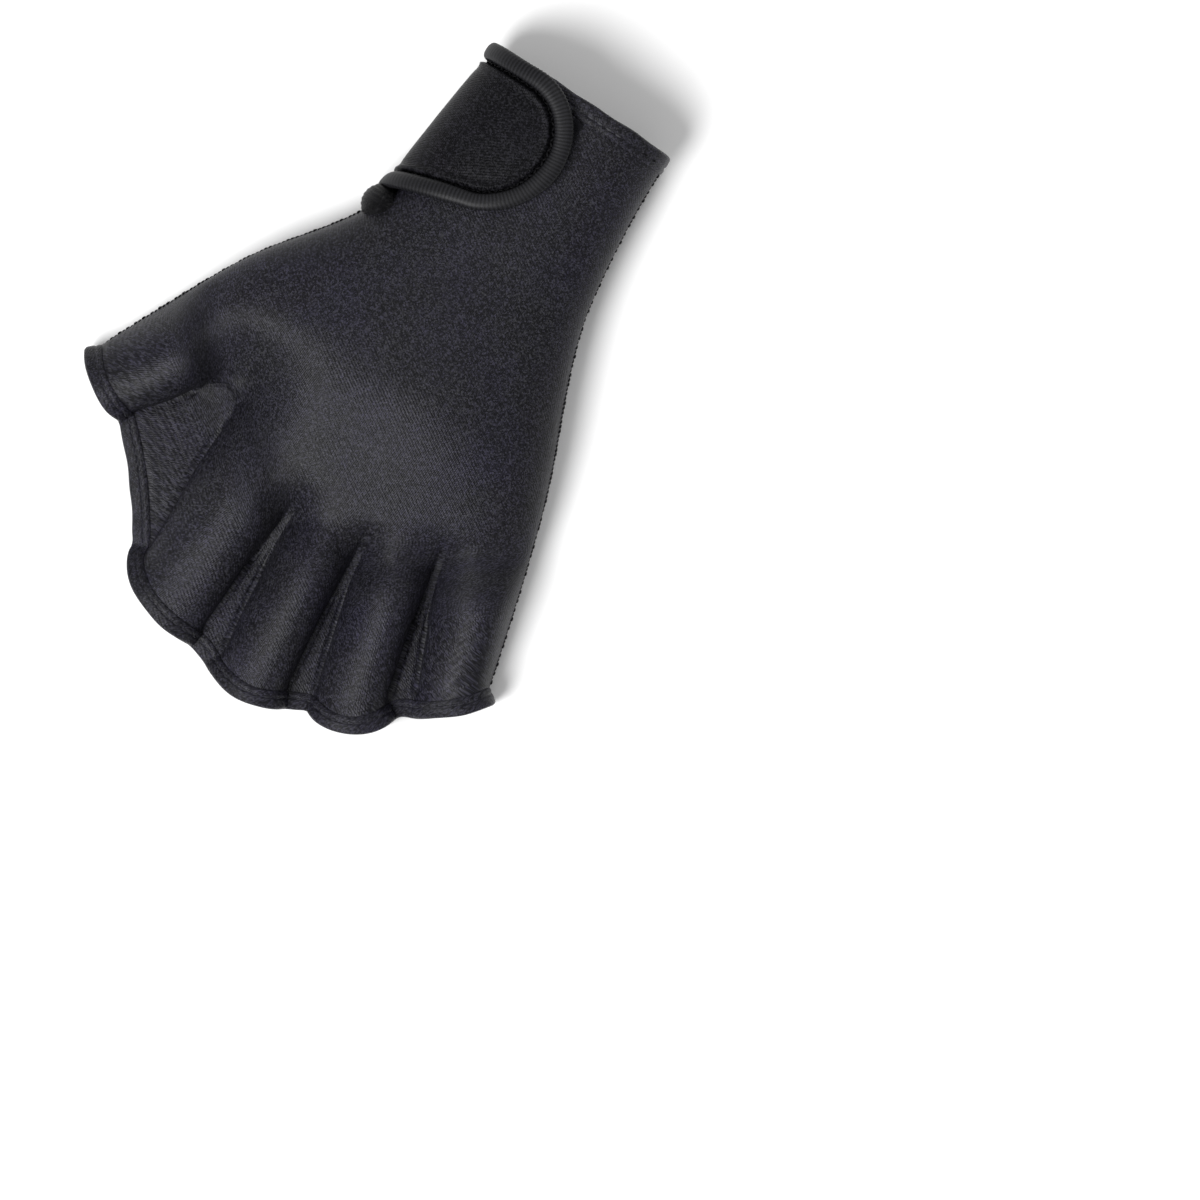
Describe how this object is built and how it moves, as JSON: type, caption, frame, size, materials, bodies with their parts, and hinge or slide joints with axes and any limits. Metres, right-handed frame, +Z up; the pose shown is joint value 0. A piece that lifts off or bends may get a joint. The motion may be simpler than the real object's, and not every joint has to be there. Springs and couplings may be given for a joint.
{
  "type": "webbed swim glove",
  "caption": "Fingerless webbed neoprene swim glove, left hand, lying palm down, with open finger tubes, sewn webs, bound edges and a bound wrist strap.",
  "frame": {"origin": "on the surface the glove lies on, under the middle of its outline seen from above", "axes": "+Y from the fingertips to the wrist opening, +Z up from the palm to the back of the hand, +X from the thumb to the little finger"},
  "size_m": [0.1526, 0.1954, 0.0352],
  "materials": {
    "neoprene": "fine jersey over foam, matt",
    "hem": "folded jersey, matt",
    "binding_tape": "ribbed tape, slight sheen",
    "loop_pile": "brushed loop pile"
  },
  "bodies": {
    "root": {"back_panel": "neoprene", "palm_panel": "neoprene", "finger_hem_back": "hem", "finger_hem_palm": "hem", "cuff_hem": "hem", "strap_panel": "neoprene", "strap_binding": "binding_tape", "loop_patch": "loop_pile", "slit_gusset": "binding_tape"}
  },
  "joints": []
}
